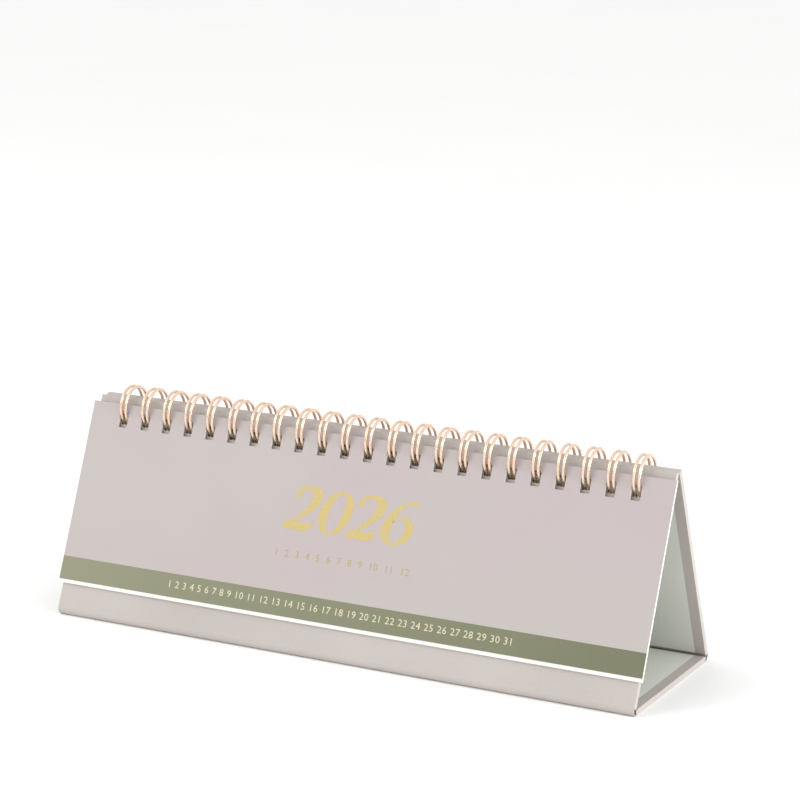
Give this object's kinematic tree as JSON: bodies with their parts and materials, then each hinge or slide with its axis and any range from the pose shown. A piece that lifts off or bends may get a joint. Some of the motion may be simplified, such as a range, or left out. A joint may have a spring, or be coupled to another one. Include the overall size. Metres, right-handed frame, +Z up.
{
  "type": "flip desk calendar",
  "caption": "Tent-shaped desk calendar: three paper-covered boards, a twin-loop wire along the ridge, and a cover and month leaves that flip over it.",
  "frame": {"origin": "on the ground under the middle of the tent, at the bottom centre of the bounding box", "axes": "+X along the ridge and the wire, -Y to the front where the cover faces, +Z up"},
  "size_m": [0.2116, 0.0616, 0.0742],
  "materials": {
    "greyboard": "raw pressed greyboard",
    "cream_wrap": "matt uncoated covering paper, fine tooth",
    "lining_paper": "matt uncoated lining paper",
    "champagne_wire": "satin champagne-gold coated steel wire",
    "cover_card": "matt card, printed with a sage band and dull gold numerals",
    "leaf_paper": "matt white leaf paper with grey print"
  },
  "bodies": {
    "stand": {"front_board": "greyboard", "front_wrap": "cream_wrap", "front_lining": "lining_paper", "front_fold": "cream_wrap", "base_board": "greyboard", "base_wrap": "cream_wrap", "base_lining": "lining_paper", "back_board": "greyboard", "back_wrap": "cream_wrap", "back_lining": "lining_paper", "rear_fold": "cream_wrap", "binding_wire": "champagne_wire"},
    "cover": {"cover_leaf": "cover_card"},
    "month_01": {"month_leaf_01": "leaf_paper"},
    "month_02": {"month_leaf_02": "leaf_paper"},
    "month_03": {"month_leaf_03": "leaf_paper"},
    "month_04": {"month_leaf_04": "leaf_paper"},
    "month_05": {"month_leaf_05": "leaf_paper"},
    "month_06": {"month_leaf_06": "leaf_paper"},
    "month_07": {"month_leaf_07": "leaf_paper"},
    "month_08": {"month_leaf_08": "leaf_paper"},
    "month_09": {"month_leaf_09": "leaf_paper"},
    "month_10": {"month_leaf_10": "leaf_paper"},
    "month_11": {"month_leaf_11": "leaf_paper"},
    "month_12": {"month_leaf_12": "leaf_paper"}
  },
  "joints": [
    {"name": "cover_turn", "type": "hinge", "parent": "stand", "child": "cover", "pos_m": [0, 0, 0.06708], "axis": [-1, 0, 0], "range_deg": [0, 180]},
    {"name": "month_01_turn", "type": "hinge", "parent": "stand", "child": "month_01", "pos_m": [0, 0, 0.06708], "axis": [-1, 0, 0], "range_deg": [0, 166.51]},
    {"name": "month_02_turn", "type": "hinge", "parent": "stand", "child": "month_02", "pos_m": [0, 0, 0.06708], "axis": [-1, 0, 0], "range_deg": [0, 153.01]},
    {"name": "month_03_turn", "type": "hinge", "parent": "stand", "child": "month_03", "pos_m": [0, 0, 0.06708], "axis": [-1, 0, 0], "range_deg": [0, 139.51]},
    {"name": "month_04_turn", "type": "hinge", "parent": "stand", "child": "month_04", "pos_m": [0, 0, 0.06708], "axis": [-1, 0, 0], "range_deg": [0, 126.01]},
    {"name": "month_05_turn", "type": "hinge", "parent": "stand", "child": "month_05", "pos_m": [0, 0, 0.06708], "axis": [-1, 0, 0], "range_deg": [0, 112.51]},
    {"name": "month_06_turn", "type": "hinge", "parent": "stand", "child": "month_06", "pos_m": [0, 0, 0.06708], "axis": [-1, 0, 0], "range_deg": [0, 99.01]},
    {"name": "month_07_turn", "type": "hinge", "parent": "stand", "child": "month_07", "pos_m": [0, 0, 0.06708], "axis": [-1, 0, 0], "range_deg": [0, 85.51]},
    {"name": "month_08_turn", "type": "hinge", "parent": "stand", "child": "month_08", "pos_m": [0, 0, 0.06708], "axis": [-1, 0, 0], "range_deg": [0, 72.01]},
    {"name": "month_09_turn", "type": "hinge", "parent": "stand", "child": "month_09", "pos_m": [0, 0, 0.06708], "axis": [-1, 0, 0], "range_deg": [0, 58.51]},
    {"name": "month_10_turn", "type": "hinge", "parent": "stand", "child": "month_10", "pos_m": [0, 0, 0.06708], "axis": [-1, 0, 0], "range_deg": [0, 45.01]},
    {"name": "month_11_turn", "type": "hinge", "parent": "stand", "child": "month_11", "pos_m": [0, 0, 0.06708], "axis": [-1, 0, 0], "range_deg": [0, 31.51]},
    {"name": "month_12_turn", "type": "hinge", "parent": "stand", "child": "month_12", "pos_m": [0, 0, 0.06708], "axis": [-1, 0, 0], "range_deg": [0, 18.01]}
  ],
  "couplings": [
    {"joint": "month_01_turn", "follows": "cover_turn", "ratio": 0.925},
    {"joint": "month_02_turn", "follows": "cover_turn", "ratio": 0.85},
    {"joint": "month_03_turn", "follows": "cover_turn", "ratio": 0.775},
    {"joint": "month_04_turn", "follows": "cover_turn", "ratio": 0.7},
    {"joint": "month_05_turn", "follows": "cover_turn", "ratio": 0.625},
    {"joint": "month_06_turn", "follows": "cover_turn", "ratio": 0.55},
    {"joint": "month_07_turn", "follows": "cover_turn", "ratio": 0.475},
    {"joint": "month_08_turn", "follows": "cover_turn", "ratio": 0.4},
    {"joint": "month_09_turn", "follows": "cover_turn", "ratio": 0.325},
    {"joint": "month_10_turn", "follows": "cover_turn", "ratio": 0.25},
    {"joint": "month_11_turn", "follows": "cover_turn", "ratio": 0.175},
    {"joint": "month_12_turn", "follows": "cover_turn", "ratio": 0.1}
  ]
}
